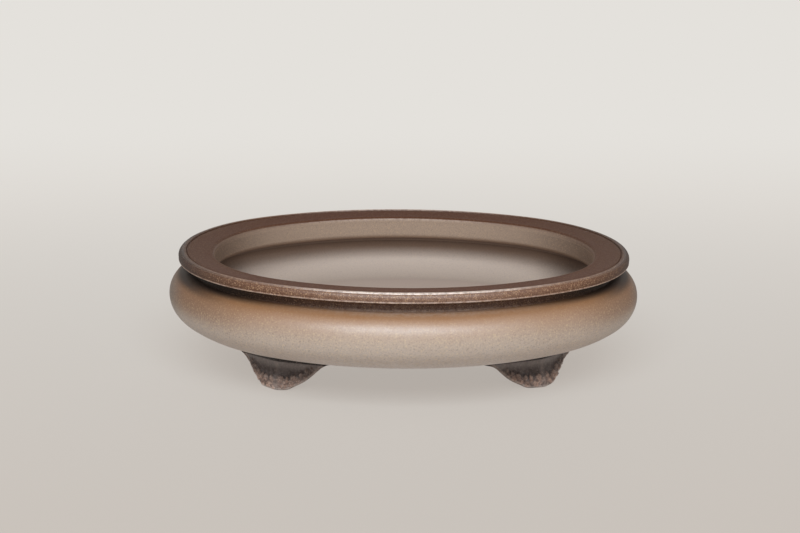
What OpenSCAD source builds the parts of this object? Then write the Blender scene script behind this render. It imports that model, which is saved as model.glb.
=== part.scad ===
// Oval bonsai pot of unglazed stoneware on four cloud feet.
// Hand-built pieces luted together with slip: a floor slab, a belly, a shoulder, a neck, a rim and the feet.
// The plan is a four-arc oval. Every wall keeps one section, swept round it at a constant distance inwards.
// Origin: under the middle of the pot on the plane that it stands on. X runs along the pot, Z is up.

/* [Plan] */
// Length of the pot over the belly
body_length = 300; // [270:1:380]
// Width of the pot over the belly
body_width = 242; // [200:1:280]
// How far the long sides swell beyond the circles of the round ends, seen from above
side_swell = 11; // [5:0.5:20]

/* [Heights] */
// Height of the feet, from the ground to the underside of the floor
foot_height = 23; // [16:0.5:32]
// Height of the belly below its widest line
belly_depth = 24.5; // [22:0.5:32]
// Height of the recessed neck
neck_height = 7; // [5:0.5:12]
// Height of the rim
rim_height = 5.7; // [5:0.1:9]

/* [Belly] */
// Thickness of the belly and shoulder walls
wall = 8; // [6:0.5:10]
// Radius of the shoulder above the widest line
shoulder_radius = 14.8; // [13:0.1:20]
// Radius of the belly just below the widest line
belly_radius = 17; // [13:0.5:19]
// Distance from the widest line in to the edge of the flat underside
floor_inset = 38.6; // [32:0.2:46]
// Width of the flat seat that the shoulder gives the neck
flange_width = 8; // [5:0.5:10]
// Radius of the inner lower edge of that seat
seat_round = 5.5; // [3:0.5:6]

/* [Floor] */
// Thickness of the floor slab
floor_thickness = 8; // [6:0.5:12]
// Width of the ledge under the edge of the floor slab
ledge_width = 6; // [3:0.5:10]
// Thickness of that ledge
ledge_thickness = 4; // [2.5:0.5:5]
// Diameter of the two drain holes
drain_diameter = 26; // [14:1:34]
// Distance between the two drain holes
drain_spacing = 104; // [70:1:116]
// Diameter of the holes for the wires that hold the tree
wire_hole_diameter = 5; // [3:0.5:8]
// Distance between the wire holes along the pot
wire_spacing_x = 96; // [40:1:110]
// Distance between the wire holes across the pot
wire_spacing_y = 76; // [56:1:84]

/* [Neck and rim] */
// Distance from the widest line in to the outer face of the neck
neck_inset = 15; // [13:0.5:20]
// Depth of the hollow round the outer face of the neck
neck_hollow = 1.2; // [0.4:0.1:2]
// Plain edge above and below that hollow
neck_land = 0.6; // [0.3:0.1:1.2]
// How far the inner skirt of the neck drops inside the shoulder
skirt_drop = 2; // [1:0.5:6]
// Radius of the skirt's inner lower edge
skirt_round = 2.6; // [1:0.1:4]
// Distance from the widest line in to the mouth
mouth_inset = 28.7; // [27:0.1:34]
// Distance from the widest line in to the outer face of the rim
lip_inset = 6.3; // [3:0.1:10]
// Radius of the rim's outer top edge
rim_round = 3.2; // [1.5:0.1:4]
// Radius of the rim's outer lower edge
lip_edge = 0.7; // [0.3:0.1:1]
// Radius of the rim's edge at the mouth
mouth_round = 2; // [1:0.1:3]
// Width of the raised bead along the rim's outer top edge, with its rounding
bead_width = 5.6; // [4.6:0.1:8]
// Height of that bead above the top of the rim
bead_step = 0.5; // [0.2:0.1:1]
// Fall of the rim's top from the bead to the mouth
rim_fall = 1.4; // [0:0.1:2]

/* [Feet] */
// Place of a foot round the pot: the direction that the wall above it faces, from the long axis
foot_angle = 55; // [45:1:62]
// Turn of a foot from that direction towards the long side
foot_turn = 6; // [0:1:12]
// Distance from the widest line in to the ridge of a foot, at the ground
foot_inset = 35; // [30:0.5:40]
// Angle by which each wing of a foot turns back from the ridge
wing_sweep = 20; // [14:1:28]
// Length of a wing from the ridge to its tip
wing_length = 39; // [34:0.5:44]
// Length of a wing's flat bottom from the ridge
wing_rest = 7; // [3:0.5:9]
// Radius of a wing's lower edge where it leaves the ground
wing_round = 11; // [7:0.5:15]
// Distance from the ridge to where a wing's lower edge levels out towards its tip
wing_knee = 32; // [28:0.5:33]
// Radius of the bend in the lower edge at that place
wing_bend = 8; // [5:0.5:10]
// Height of a wing at its tip
wing_tip = 8; // [6:0.5:10]
// Thickness of a wing at the ground
wing_thickness = 14; // [10:0.5:18]
// Lean of a foot's face, with the top inwards
foot_lean = 12; // [4:1:16]
// Height of that leaning face, below the hollow under the belly
face_height = 10; // [8:0.5:12]
// Radius of that hollow
flare_radius = 14; // [12:0.5:16]
// Direction from that hollow's centre to its end, inside the belly
flare_turn = 120; // [110:1:125]
// Number of cloud curls along each wing
curl_count = 4; // [2:1:4]
// Radius of the lowest curl
curl_radius = 3.7; // [3.2:0.1:4.2]
// How much each curl is smaller than the one below it
curl_taper = 0.3; // [0.1:0.1:0.5]
// How far each curl laps over the next
curl_overlap = 0.8; // [0.5:0.1:1.2]
// How far the lowest curl lies back from the start of the climb, towards the ridge
curl_setback = 3; // [2:0.5:4]
// Width of the plain border between the curls and the lower edge of a wing
curl_border = 0.6; // [0.4:0.1:1.4]
// Height of the lowest curl above the face
curl_relief = 1.8; // [1.2:0.1:2.4]
// How much each curl lies lower than the one below it
curl_step = 0.2; // [0.1:0.05:0.3]
// Radius of the eye in the middle of a curl
eye_radius = 0.9; // [0.6:0.1:1.2]
// Width of the groove round an eye
eye_groove = 0.6; // [0.4:0.1:0.9]
// Depth of that groove
eye_depth = 0.7; // [0.4:0.1:1]

/* [Joints] */
// Gap left for slip between pieces that fit inside one another
slip_joint = 0.2; // [0.1:0.05:0.4]

/* [Hidden] */
$fn = 40;
arc_steps = 6;
edge_steps = 3;
curl_sides = 13;
hole_sides = 24;
border_share = 5 / 8;
fillet_share = 0.9;

// Levels, from the ground up
z_floor = foot_height;
z_wide = z_floor + belly_depth;
z_shoulder = z_wide + shoulder_radius;
z_rim = z_shoulder + neck_height;
z_top = z_rim + rim_height;

// The four arcs of the plan: the ends turn about (+-end_x, 0), the long sides about (0, +-side_y)
half_width = body_width / 2;
end_radius = half_width - side_swell;
end_x = body_length / 2 - end_radius;
side_radius = (end_x * end_x + half_width * half_width - end_radius * end_radius)
            / (2 * (half_width - end_radius));
side_y = side_radius - half_width;
join_angle = atan2(side_y, end_x);

// The wide bottom arc of the belly, tangent to the underside and to the belly's side arc
belly_run = floor_inset - belly_radius;
bottom_radius = (belly_run * belly_run + belly_depth * belly_depth - belly_radius * belly_radius)
              / (2 * (belly_depth - belly_radius));
belly_turn = atan2(bottom_radius - belly_depth, belly_run);

// A wing before it is scribed: its top, the centre of its heel's rounding, and the knee of its lower edge
wing_top = z_floor + belly_depth / 2;
wing_heel = [wing_rest, wing_round];
wing_corner = [wing_knee, foot_height - wing_tip];
// Where the heel's rounding ends, and the slope of the lower edge from there to the knee
heel_turn = atan2(wing_corner[1] - wing_heel[1], wing_corner[0] - wing_heel[0])
          - acos(wing_round / norm(wing_corner - wing_heel));
climb = heel_turn + 90;

// Sweeps a section round the oval: x is the distance outwards from the widest line, y is the height
module round_oval() {
    for (s = [0, 180]) {
        rotate([0, 0, s])
            translate([end_x, 0, 0])
                rotate_extrude(angle = 2 * join_angle, start = -join_angle)
                    translate([end_radius, 0])
                        children();
        rotate([0, 0, s])
            translate([0, -side_y, 0])
                rotate_extrude(angle = 180 - 2 * join_angle, start = join_angle)
                    translate([side_radius, 0])
                        children();
    }
}

// The point that faces a direction on the line a distance inside the widest line
function outline_point(turn, inset) =
    turn < join_angle
        ? [end_x, 0] + (end_radius - inset) * [cos(turn), sin(turn)]
        : [0, -side_y] + (side_radius - inset) * [cos(turn), sin(turn)];

// Points along an arc of a section, in short straight steps
function arc(centre, radius, from, to, steps = arc_steps) =
    [for (i = [0 : steps])
        let (turn = from + (to - from) * i / steps)
            centre + radius * [cos(turn), sin(turn)]];

// A swept border with a step that sits on the ledge, round a plain core, with drain and wire holes
module floor_slab() {
    edge = -floor_inset - slip_joint;
    foot = edge - ledge_width;
    reach = end_radius + foot;
    inner = foot - border_share * reach;
    core = [end_x + reach / 2, half_width + foot - reach / 2];
    z_step = z_floor + ledge_thickness;
    z_soil = z_floor + floor_thickness;
    color("tan")
        difference() {
            union() {
                round_oval()
                    polygon([[inner, z_floor], [foot, z_floor], [foot, z_step],
                             [edge, z_step], [edge, z_soil], [inner, z_soil]]);
                translate([-core[0], -core[1], z_floor])
                    cube([2 * core[0], 2 * core[1], floor_thickness]);
            }
            for (x = [-1, 1])
                translate([x * drain_spacing / 2, 0, z_floor - floor_thickness])
                    cylinder(h = 3 * floor_thickness, d = drain_diameter, $fn = hole_sides);
            for (x = [-1, 1], y = [-1, 1])
                translate([x * wire_spacing_x / 2, y * wire_spacing_y / 2, z_floor - floor_thickness])
                    cylinder(h = 3 * floor_thickness, d = wire_hole_diameter, $fn = hole_sides);
        }
}

// Outer face down from the widest line, the ledge under the floor slab, then the inner face back up
module lower_belly() {
    side = [-belly_radius, z_wide];
    bottom = [-floor_inset, z_floor + bottom_radius];
    ledge_edge = -floor_inset - ledge_width;
    z_ledge = z_floor + ledge_thickness;
    color("burlywood")
        round_oval()
            polygon(concat(
                arc(side, belly_radius, 0, -belly_turn),
                arc(bottom, bottom_radius, -belly_turn, -90),
                [[ledge_edge, z_floor], [ledge_edge, z_ledge], [-floor_inset, z_ledge]],
                arc(bottom, bottom_radius - wall, -90, -belly_turn),
                arc(side, belly_radius - wall, -belly_turn, 0)));
}

// Outer face up from the widest line, the flat seat of the neck, then the inner face back down
module shoulder_ring() {
    centre = [-shoulder_radius, z_wide];
    seat_edge = -shoulder_radius - flange_width;
    fillet = min(seat_round, fillet_share * flange_width);
    seat_centre = [seat_edge + fillet, z_shoulder - wall + fillet];
    color("peru")
        round_oval()
            polygon(concat(
                arc(centre, shoulder_radius, 0, 90),
                [[seat_edge, z_shoulder]],
                arc(seat_centre, fillet, 180, 270, edge_steps),
                arc(centre, shoulder_radius - wall, 90, 0)));
}

// A ring on the seat of the shoulder, hollow outside, with a skirt that drops inside the seat
module neck_band() {
    half = neck_height / 2 - neck_land;
    hollow_radius = (half * half + neck_hollow * neck_hollow) / (2 * neck_hollow);
    hollow_turn = asin(half / hollow_radius);
    hollow_centre = [hollow_radius - neck_hollow - neck_inset, (z_shoulder + z_rim) / 2];
    skirt_outer = -shoulder_radius - flange_width - slip_joint;
    z_skirt = z_shoulder - skirt_drop;
    fillet = min(skirt_round, fillet_share * (mouth_inset + skirt_outer));
    color("saddlebrown")
        round_oval()
            polygon(concat(
                [[-neck_inset, z_shoulder]],
                arc(hollow_centre, hollow_radius, 180 + hollow_turn, 180 - hollow_turn),
                [[-neck_inset, z_rim], [-mouth_inset, z_rim]],
                arc([fillet - mouth_inset, z_skirt + fillet], fillet, 180, 270, edge_steps),
                [[skirt_outer, z_skirt], [skirt_outer, z_shoulder]]));
}

// A flat ring on the neck, with a rolled outer edge, a raised bead and a rounded mouth
module rim_lip() {
    z_face = z_top - bead_step;
    bead_edge = -lip_inset - bead_width;
    mouth_centre = [mouth_round - mouth_inset, z_face - rim_fall - mouth_round];
    color("sienna")
        round_oval()
            polygon(concat(
                [[-mouth_inset, z_rim]],
                arc([-lip_inset - lip_edge, z_rim + lip_edge], lip_edge, -90, 0, edge_steps),
                arc([-lip_inset - rim_round, z_top - rim_round], rim_round, 0, 90),
                [[bead_edge, z_top], [bead_edge, z_face]],
                arc(mouth_centre, mouth_round, 90, 180, edge_steps)));
}

// The section of the space above the underside, kept a slip joint clear of the curved part of the belly
module above_belly() {
    inner = -floor_inset - wing_length;
    side = [-belly_radius, z_wide];
    bottom = [-floor_inset, z_floor + bottom_radius];
    polygon(concat(
        [[inner, z_wide], [inner, z_floor], [-floor_inset, z_floor]],
        arc(bottom, bottom_radius + slip_joint, -90, -belly_turn),
        arc(side, belly_radius + slip_joint, -belly_turn, 0)));
}

// That space over the round end, and over the long side, of one quarter of the pot
module above_end() {
    translate([end_x, 0, 0])
        rotate_extrude(angle = 2 * join_angle, start = -join_angle)
            translate([end_radius, 0])
                above_belly();
}

module above_side() {
    translate([0, -side_y, 0])
        rotate_extrude(angle = 180 - 2 * join_angle, start = join_angle)
            translate([side_radius, 0])
                above_belly();
}

// A wing seen from the front: level at the ridge, rounded up off the ground, a climb, then level to its tip
module wing_front() {
    bend = wing_corner + wing_bend * [tan(climb / 2), -1];
    polygon(concat(
        [[-wing_length, wing_top], [-wing_length, 0]],
        arc(wing_heel, wing_round, -90, heel_turn),
        arc(bend, wing_bend, 90 + climb, 90, edge_steps),
        [[wing_length, wing_corner[1]], [wing_length, wing_top]]));
}

// A wing seen from its tip: a leaning face, then a hollow that runs out under the belly
module wing_side() {
    face_top = face_height * [-tan(foot_lean), 1];
    centre = face_top + flare_radius * [cos(foot_lean), sin(foot_lean)];
    flare = arc(centre, flare_radius, 180 + foot_lean, flare_turn);
    polygon(concat(
        [[-wing_thickness, wing_top], [-wing_thickness, 0], [0, 0]],
        flare,
        [[flare[arc_steps][0], wing_top]]));
}

// One wing, along +x from the ridge and facing +y
module wing() {
    intersection() {
        translate([0, wing_length, 0])
            rotate([90, 0, 0])
                linear_extrude(2 * wing_length)
                    wing_front();
        translate([-wing_length, 0, 0])
            rotate([90, 0, 90])
                linear_extrude(2 * wing_length)
                    wing_side();
    }
}

// One cloud curl facing up, with its face at a height above the floor of its drawing
module curl(radius, relief) {
    depth = wing_thickness / 2;
    difference() {
        translate([0, 0, -depth])
            cylinder(h = depth + relief, r = radius, $fn = curl_sides);
        translate([0, 0, relief - eye_depth])
            difference() {
                cylinder(h = 2 * eye_depth, r = eye_radius + eye_groove, $fn = curl_sides);
                cylinder(h = 2 * eye_depth, r = eye_radius, $fn = curl_sides);
            }
    }
}

// The curls of a wing, each smaller and lower than the one below it, in a row just above the lower edge
module wing_curls() {
    foot_of_edge = wing_heel + wing_round * [cos(heel_turn), sin(heel_turn)];
    for (i = [0 : curl_count - 1]) {
        radius = curl_radius - i * curl_taper;
        along = (2 * curl_radius - curl_taper * i - curl_overlap) * i - curl_setback;
        at = foot_of_edge + along * [cos(climb), sin(climb)]
           + (radius + curl_border) * [-sin(climb), cos(climb)];
        rotate([foot_lean, 0, 0])
            translate([at[0], 0, at[1]])
                rotate([-90, 0, 0])
                    curl(radius, curl_relief - i * curl_step);
    }
}

// Two wings, or their curls, on either side of the ridge at the origin, facing +y
module on_both_wings() {
    reach = 2 * wing_length;
    for (side = [0, 1])
        mirror([side, 0, 0])
            intersection() {
                rotate([0, 0, -wing_sweep])
                    children();
                translate([0, -reach, 0])
                    cube([reach, 2 * reach, z_wide]);
            }
}

// Sets what belongs to a foot in its place under the back right quarter of the pot
module at_foot() {
    translate(outline_point(foot_angle, foot_inset))
        rotate([0, 0, foot_angle + foot_turn - 90])
            on_both_wings()
                children();
}

// A foot with two wings mitred at the ridge and scribed to the belly, under the back right quarter
module cloud_foot() {
    color("dimgray") {
        difference() {
            at_foot() wing();
            above_end();
            above_side();
        }
        at_foot() wing_curls();
    }
}

module foot_front_left() { rotate([0, 0, 180]) cloud_foot(); }
module foot_front_right() { mirror([0, 1, 0]) cloud_foot(); }
module foot_back_left() { mirror([1, 0, 0]) cloud_foot(); }
module foot_back_right() { cloud_foot(); }

floor_slab();
lower_belly();
shoulder_ring();
neck_band();
rim_lip();
foot_front_left();
foot_front_right();
foot_back_left();
foot_back_right();
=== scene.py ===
# %% [markdown]
# # An oval bonsai pot in brown stoneware
# The pot is a low, round-bellied oval on four scrolled feet. It is unglazed, so everything that makes it look real is
# in two places: soft, slightly worn clay edges, and a clay colour that changes with how each zone was handled, with
# highlights, reflections and shade painted into it in places. The rim is burnished dark, the belly is satin and sandy,
# the inside is pale and dry, and the carved feet are grey with rubbed high spots. The solid model of the pot is loaded
# first, because every piece below takes its place and size from it.

# %% The solid model
import math

import bmesh
import bpy
import numpy as np
from mathutils import Matrix, Vector


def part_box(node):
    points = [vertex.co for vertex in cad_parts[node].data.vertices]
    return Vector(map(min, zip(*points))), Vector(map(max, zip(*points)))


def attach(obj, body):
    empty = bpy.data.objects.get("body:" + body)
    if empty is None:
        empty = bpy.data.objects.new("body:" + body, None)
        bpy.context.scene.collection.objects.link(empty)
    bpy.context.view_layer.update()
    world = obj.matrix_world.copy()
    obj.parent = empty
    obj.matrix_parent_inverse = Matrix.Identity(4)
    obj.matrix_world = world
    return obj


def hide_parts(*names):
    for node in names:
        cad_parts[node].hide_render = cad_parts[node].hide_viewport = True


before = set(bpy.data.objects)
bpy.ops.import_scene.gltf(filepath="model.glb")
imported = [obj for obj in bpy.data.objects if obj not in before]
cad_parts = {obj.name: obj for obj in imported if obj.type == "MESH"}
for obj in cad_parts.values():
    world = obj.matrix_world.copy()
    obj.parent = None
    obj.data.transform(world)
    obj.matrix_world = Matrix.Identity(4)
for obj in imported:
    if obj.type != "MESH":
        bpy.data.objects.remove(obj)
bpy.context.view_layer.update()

MM = 0.001

# %% [markdown]
# ## Sums written as sums
# Both the shapes and the clay finishes below are sums on fields: a distance, a mask, a bit of noise. Node trees hold
# such sums as Math nodes, which are slow to wire by hand and hard to read back. This small class wraps one socket, so
# that `1 - mask * 0.5` in Python adds the two Math nodes. Its `node` method makes every other kind of node.


# %% A socket that can be calculated with
class Wire:
    def __init__(self, tree, socket=None):
        self.tree, self.socket = tree, socket

    @staticmethod
    def pick(sockets, key):
        if isinstance(key, int):
            return sockets[key]
        return next((s for s in sockets if s.identifier == key), None) or sockets[key]

    def node(self, kind, settings=None, sockets=None, out=0):
        made = self.tree.nodes.new(kind)
        for name, value in (settings or {}).items():
            setattr(made, name, value)
        for key, value in (sockets or {}).items():
            place = self.pick(made.inputs, key)
            if isinstance(value, Wire):
                self.tree.links.new(value.socket, place)
            else:
                place.default_value = value
        return Wire(self.tree, self.pick(made.outputs, out) if len(made.outputs) else None)

    def also(self, out):
        """Another output of the node that this socket belongs to."""
        return Wire(self.tree, self.pick(self.socket.node.outputs, out))

    def math(self, operation, *terms):
        return self.node("ShaderNodeMath", {"operation": operation}, dict(enumerate(terms)))

    def __add__(self, other): return self.math("ADD", self, other)
    def __radd__(self, other): return self.math("ADD", other, self)
    def __sub__(self, other): return self.math("SUBTRACT", self, other)
    def __rsub__(self, other): return self.math("SUBTRACT", other, self)
    def __mul__(self, other): return self.math("MULTIPLY", self, other)
    def __rmul__(self, other): return self.math("MULTIPLY", other, self)
    def __truediv__(self, other): return self.math("DIVIDE", self, other)
    def __rtruediv__(self, other): return self.math("DIVIDE", other, self)
    def __pow__(self, other): return self.math("POWER", self, other)
    def __lt__(self, other): return self.math("LESS_THAN", self, other)
    def __abs__(self): return self.math("ABSOLUTE", self)

    def ease(self, start, end):
        """0 before the start, 1 after the end, and a soft step in between."""
        return self.node("ShaderNodeMapRange", {"interpolation_type": "SMOOTHSTEP"},
                         {"Value": self, "From Min": start, "From Max": end})


print("operators ready")

# %% [markdown]
# ## One rule for the whole plan
# Potters cut an oval like this from four arcs: two tight ones at the ends and two flat ones along the sides, which meet
# without a corner. Every ring of the pot is a section carried round that oval, so one Geometry Nodes tree makes the
# four of them. A curve swept with Curve to Mesh would do it too, but the sizes would drift where the arcs meet. Here
# a flat grid is bent instead: each grid point reads its angle from its index and its place in the section from the
# section's own points, so that neighbouring rings share their edge exactly.

# %% The four-arc oval
belly_low, belly_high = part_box("lower_belly")
HALF_LENGTH, HALF_WIDTH = belly_high.x / MM, belly_high.y / MM
SIDE_SWELL = 11.0
END_RADIUS = HALF_WIDTH - SIDE_SWELL
END_CENTRE = HALF_LENGTH - END_RADIUS
SIDE_RADIUS = (END_CENTRE ** 2 + HALF_WIDTH ** 2 - END_RADIUS ** 2) / (2 * SIDE_SWELL)
SIDE_CENTRE = HALF_WIDTH - SIDE_RADIUS
JOIN = math.atan2(-SIDE_CENTRE, END_CENTRE)
print(f"oval {2 * HALF_LENGTH:.1f} x {2 * HALF_WIDTH:.1f} mm, end arcs {END_RADIUS:.1f}, side arcs {SIDE_RADIUS:.1f}")
print(f"the belly starts {belly_low.z / MM:.1f} mm over the table")


# %% How a tree starts and ends
def new_tree(name, result):
    tree = bpy.data.node_groups.new(name, "GeometryNodeTree")
    tree.interface.new_socket(name=result, in_out="OUTPUT", socket_type="NodeSocketGeometry")
    return tree


def socket_for(tree, name, kind, value=None):
    item = tree.interface.new_socket(name=name, in_out="INPUT", socket_type="NodeSocket" + kind)
    if value is not None:
        item.default_value = value
    return item.identifier


def hand_over(shape, clay):
    """The end of a tree: smooth and real geometry, with its clay set."""
    smooth = shape.node("GeometryNodeSetShadeSmooth", None, {"Geometry": shape})
    real = shape.node("GeometryNodeRealizeInstances", None, {"Geometry": smooth})
    dressed = shape.node("GeometryNodeSetMaterial", None, {"Geometry": real, "Material": clay})
    shape.node("NodeGroupOutput", None, {0: dressed})


print("trees can be started and ended")

# %% The ring tree
TREATMENTS = ("burnish", "inside", "rub", "satin", "smoke")


def ring_tree():
    tree = new_tree("section carried round the oval", "Ring")
    ids = {"section": socket_for(tree, "Section", "Geometry"),
           "points": socket_for(tree, "Section Points", "Int", 8),
           "steps": socket_for(tree, "Steps Round", "Int", 240),
           "half_length": socket_for(tree, "Half Length", "Float", 0.15),
           "half_width": socket_for(tree, "Half Width", "Float", 0.12),
           "swell": socket_for(tree, "Side Swell", "Float", 0.011),
           "wobble": socket_for(tree, "Hand Wobble", "Float", 0.0002),
           "clay": socket_for(tree, "Clay", "Material")}
    given = Wire(tree).node("NodeGroupInput")
    count, steps = given.also(ids["points"]), given.also(ids["steps"])
    half_length, half_width = given.also(ids["half_length"]), given.also(ids["half_width"])
    section, swell = given.also(ids["section"]), given.also(ids["swell"])
    grid = given.node("GeometryNodeMeshGrid", None, {"Vertices X": steps + 1, "Vertices Y": count + 1})
    # Which step round the oval and which point of the section a grid point is.
    index = given.node("GeometryNodeInputIndex")
    row = count + 1
    step = given.math("FLOOR", (index + 0.5) / row)
    point = given.math("FLOORED_MODULO", index - step * row, count)
    turn = step * (2 * math.pi) / steps
    section_place = given.node("GeometryNodeSampleIndex", {"data_type": "FLOAT_VECTOR", "domain": "POINT"},
                               {"Geometry": section, "Index": point,
                                "Value": given.node("GeometryNodeInputPosition")})
    split = given.node("ShaderNodeSeparateXYZ", None, {"Vector": section_place})
    out, up = split.also("X"), split.also("Y")
    # The four arcs, worked out in one quarter and turned over into the others.
    end_radius = half_width - swell
    end_centre = half_length - end_radius
    side_radius = (end_centre * end_centre + half_width * half_width - end_radius * end_radius) / (swell * 2)
    side_centre = half_width - side_radius
    cosine, sine = given.math("COSINE", turn), given.math("SINE", turn)
    across, along = abs(sine), abs(cosine)
    at_end = across * end_centre < along * (0 - side_centre)
    radius = side_radius + at_end * (end_radius - side_radius) + out
    x = (along * radius + at_end * end_centre) * given.math("SIGN", cosine)
    y = (across * radius + (1 - at_end) * side_centre) * given.math("SIGN", sine)
    # A hand-made pot is never quite true: a slow, fixed noise pushes the wall in and out a little.
    spot = given.node("ShaderNodeCombineXYZ", None, {"X": cosine, "Y": sine, "Z": up * 9})
    slow = given.node("ShaderNodeTexNoise", None, {"Vector": spot, "Scale": 1.7, "Detail": 1.0})
    push = (slow - 0.5) * given.also(ids["wobble"]) * 2
    place = given.node("ShaderNodeCombineXYZ", None,
                       {"X": x + cosine * push, "Y": y + sine * push, "Z": up})
    bent = given.node("GeometryNodeSetPosition", None, {"Geometry": grid, "Position": place})
    for name in TREATMENTS:
        field = given.node("GeometryNodeInputNamedAttribute", {"data_type": "FLOAT"}, {"Name": name})
        value = given.node("GeometryNodeSampleIndex", {"data_type": "FLOAT", "domain": "POINT"},
                           {"Geometry": section, "Index": point, "Value": field})
        bent = given.node("GeometryNodeStoreNamedAttribute", {"data_type": "FLOAT", "domain": "POINT"},
                          {"Geometry": bent, "Name": name, "Value": value})
    hand_over(given.node("GeometryNodeMergeByDistance", None, {"Geometry": bent, "Distance": 1e-6}),
              given.also(ids["clay"]))
    return tree, ids


RING, RING_IDS = ring_tree()
print("ring tree:", len(RING.nodes), "nodes")


# %% [markdown]
# ## From a node tree to a plain piece
# The finished part must be plain meshes, because a modifier or an instance is lost when it leaves Blender. So each tree
# is evaluated once, its mesh is copied, and the carrier object is thrown away. The signed volume of the copy tells
# whether its faces look outwards: a negative one means that the shell is inside out.

# %% Evaluate, close and check
CREASE = math.radians(38)


def settle(mesh):
    """Turn the faces outwards and shade them; gives the triangles and the clay in millilitres."""
    for _ in range(2):
        points = np.array([v.co for v in mesh.vertices])
        mesh.calc_loop_triangles()
        tri = np.array([t.vertices for t in mesh.loop_triangles])
        a, b, c = points[tri[:, 0]], points[tri[:, 1]], points[tri[:, 2]]
        volume = float(np.einsum("ij,ij->i", a, np.cross(b, c)).sum() / 6)
        if volume > 0:
            break
        mesh.flip_normals()
    mesh.shade_smooth()
    mesh.set_sharp_from_angle(angle=CREASE)
    return len(mesh.loop_triangles), volume * 1e6


def evaluated(carrier, tree, ids, sizes):
    modifier = carrier.modifiers.new("shape", "NODES")
    modifier.node_group = tree
    for key, value in sizes.items():
        modifier[ids[key]] = value
    bpy.context.scene.collection.objects.link(carrier)
    graph = bpy.context.evaluated_depsgraph_get()
    mesh = bpy.data.meshes.new_from_object(carrier.evaluated_get(graph), preserve_all_data_layers=True,
                                           depsgraph=graph)
    old = carrier.data
    bpy.data.objects.remove(carrier)
    bpy.data.meshes.remove(old)
    return mesh


def store(mesh, attribute, values):
    mesh.attributes.new(attribute, "FLOAT", "POINT").data.foreach_set("value", values)


def present(name, mesh):
    piece = bpy.data.objects.new(name + "_clay", mesh)
    mesh.name = piece.name
    bpy.context.scene.collection.objects.link(piece)
    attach(piece, "root")
    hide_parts(name)


print("ready to make pieces")

# %% [markdown]
# ## Fired clay
# One recipe serves the belly, the rim and the floor, because it is one clay. Sand gives it a fine grain of pale and
# dark specks about half a millimetre across, and the kiln leaves soft clouds of lighter and darker brown. Five values
# stored on the mesh say how each zone is coloured: burnish for clay polished dark, inside for the dry pale interior,
# painted light for pale lines and patches that stand in for highlights and reflected light, satin for the outside,
# which was smoothed wet so that it took a thin sheen in the fire, and painted shade for hollows and undercuts. The
# sheen is a coat, since only its weight may vary. Painted shade and painted reflections at the two ends follow from
# where a point lies, so the recipe reads its place as well.


# %% Colours as they are seen
def seen_as(red, green, blue):
    """A colour given as 0 to 255, as the linear colour that Blender calculates with."""
    line = [(v / 255 / 12.92) if v < 11 else ((v / 255 + 0.055) / 1.055) ** 2.4 for v in (red, green, blue)]
    return (*line, 1.0)


# A pale tone for sand grains and painted light, and a dark tone for painted shade.
PALE_GRAIN_AND_LIGHT, SHADE_TONE = seen_as(206, 186, 176), seen_as(60, 46, 38)
print("rubbed edge, linear:", [round(v, 3) for v in PALE_GRAIN_AND_LIGHT[:3]])


# %% Nodes that every finish uses
def cleared(thing):
    """The empty node tree of a material or a world."""
    thing.use_nodes = True
    thing.node_tree.nodes.clear()
    return Wire(thing.node_tree)


def mix(factor, first, second):
    return factor.node("ShaderNodeMix", {"data_type": "RGBA"},
                       {"Factor_Float": factor, "A_Color": first, "B_Color": second}, "Result_Color")


def speckle(spot, scale, detail=2):
    return spot.node("ShaderNodeTexNoise", None,
                     {"Vector": spot, "Scale": scale, "Detail": detail, "Roughness": 0.65})


def marked(wire, attribute):
    return wire.node("ShaderNodeAttribute", {"attribute_name": attribute}, None, "Fac")


print("colours can be mixed, speckled and marked")


# %% Painted shade and reflections
def painted_light_masks(out, up, inside):
    """Masks for painted shade and painted reflections, from how far out and how high a point lies, in mm."""
    outer = 1 - inside
    ends, sides = out.ease(85, 148), out.ease(20, 120)
    # Painted shade makes the ends browner and darker; inside, only on the face under the rim.
    end_shade = (ends * 0.52 + sides * 0.25) * up.ease(38, 54)
    end_shade = end_shade + inside * (0.08 * sides + 0.7 * ends * up.ease(56, 60) - end_shade)
    # Painted shade in the corners of the floor, and a painted shadow in the hollow of the neck towards the ends.
    corner = out.ease(96, 126) * (1 - up.ease(52, 57)) * inside
    neck_shadow = out.ease(55, 125) * up.ease(60.5, 62.4)
    neck_shadow = neck_shadow + (1 - neck_shadow) * out.ease(105, 140) * up.ease(57.2, 60.8)
    neck_shadow = neck_shadow * (1 - up.ease(69.0, 69.6)) * outer
    # Painted shade with a grey reflection on the outermost ends, and a painted cool reflection under them.
    silhouette_shade = out.ease(136, 151) * outer
    cool_reflection = ends * (1 - up.ease(30, 50)) * outer
    return sides, end_shade, corner, neck_shadow, silhouette_shade, cool_reflection


print("the kiln leaves flame, smoke, soot, grey and ash")


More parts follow.
